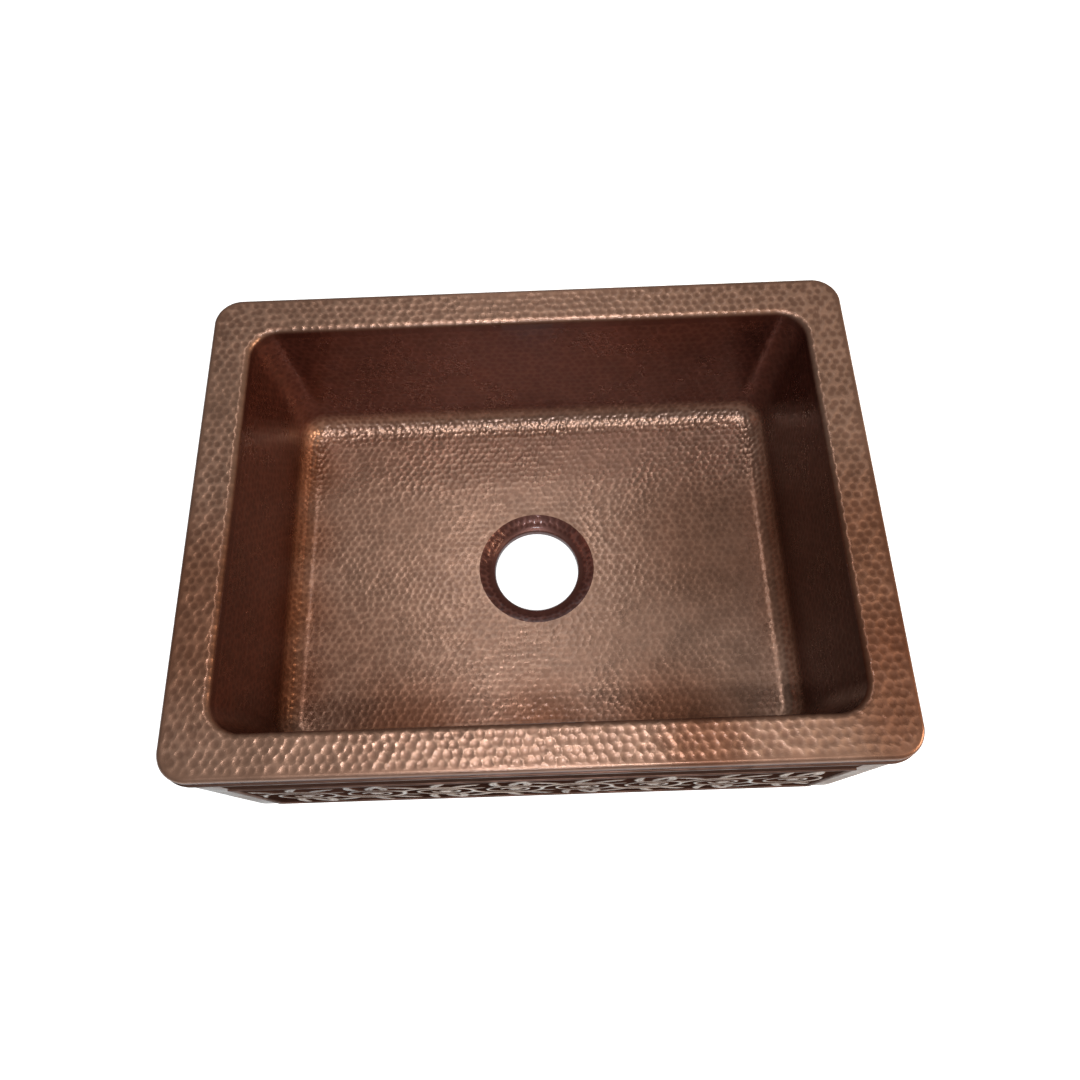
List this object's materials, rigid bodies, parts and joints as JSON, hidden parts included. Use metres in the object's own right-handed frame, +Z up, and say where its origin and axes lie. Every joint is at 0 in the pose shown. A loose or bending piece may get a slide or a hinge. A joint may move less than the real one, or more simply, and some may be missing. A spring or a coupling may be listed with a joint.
{
  "type": "farmhouse apron front sink",
  "caption": "Rectangular hammered copper kitchen sink with a flat rim, a deep bowl with a sunken round drain opening and a front apron embossed with a foliate scroll.",
  "frame": {"origin": "middle of the footprint, on the surface that the sink stands on", "axes": "+X along the length of the sink, +Y from the apron towards the back, +Z up out of the bowl; the apron faces -Y"},
  "size_m": [0.613, 0.463, 0.203],
  "materials": {
    "hammered_copper": "hand-hammered copper with a dark brown patina, satin, lighter on the ridges between the hammer marks",
    "smooth_dark_copper": "smooth copper sheet with a dark brown patina, semi-gloss",
    "embossed_copper": "embossed copper with a near-black patina in the hollows, rubbed lighter on the raised scroll",
    "mill_copper": "plain rolled copper, unpatinated, dull"
  },
  "bodies": {
    "root": {"deck_rim": "hammered_copper", "bowl_wall_front": "hammered_copper", "bowl_wall_back": "hammered_copper", "bowl_wall_left": "hammered_copper", "bowl_wall_right": "hammered_copper", "bowl_floor": "hammered_copper", "drain_seat": "hammered_copper", "skirt_left": "smooth_dark_copper", "skirt_right": "smooth_dark_copper", "skirt_back": "smooth_dark_copper", "edge_bead": "smooth_dark_copper", "apron_panel": "embossed_copper", "apron_bead_top": "embossed_copper", "apron_bead_bottom": "embossed_copper", "apron_bead_left": "embossed_copper", "apron_bead_right": "embossed_copper", "foot_strip_front": "mill_copper", "foot_strip_back": "mill_copper", "foot_strip_left": "mill_copper", "foot_strip_right": "mill_copper", "floor_bearer_left": "mill_copper", "floor_bearer_right": "mill_copper"}
  },
  "joints": []
}
